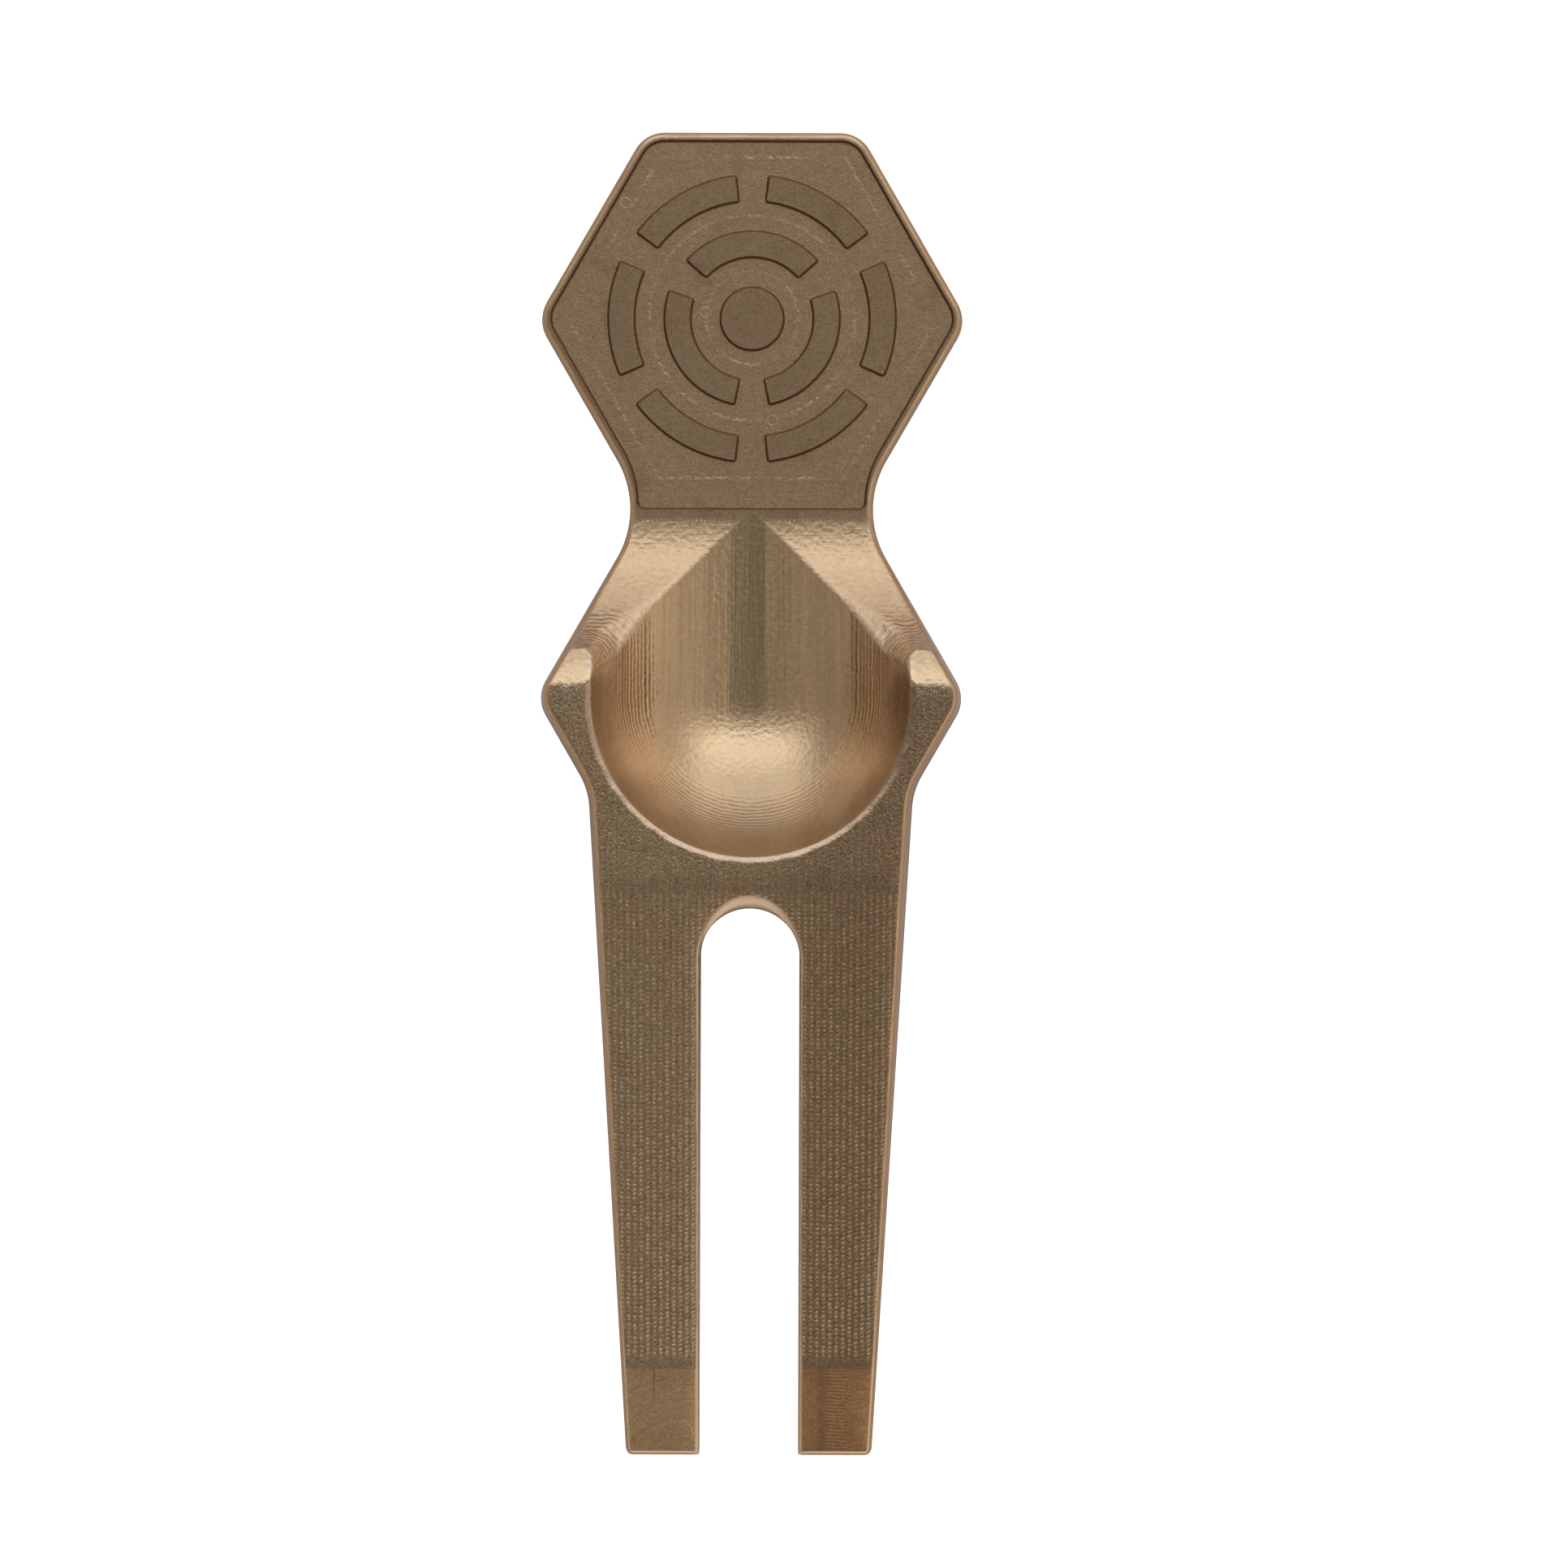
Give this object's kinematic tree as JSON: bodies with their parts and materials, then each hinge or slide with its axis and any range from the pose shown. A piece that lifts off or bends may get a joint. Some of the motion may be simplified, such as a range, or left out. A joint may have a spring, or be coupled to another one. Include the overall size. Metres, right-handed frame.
{
  "type": "golf pitch mark repair tool",
  "caption": "Two-tined golf green repair tool milled from one bar of copper alloy, with a hexagonal head that holds a raised ring badge, and a ball-ended thumb cradle.",
  "frame": {"origin": "middle of the flat back, under the centre of the bounding box", "axes": "+Z out of the milled front, +Y from the tines towards the hexagonal head"},
  "size_m": [0.0286, 0.0898, 0.0103],
  "materials": {
    "divot_tool_body": "as-milled copper alloy, fine tool marks"
  },
  "bodies": {
    "root": {"divot_tool_body": "divot_tool_body"}
  },
  "joints": []
}
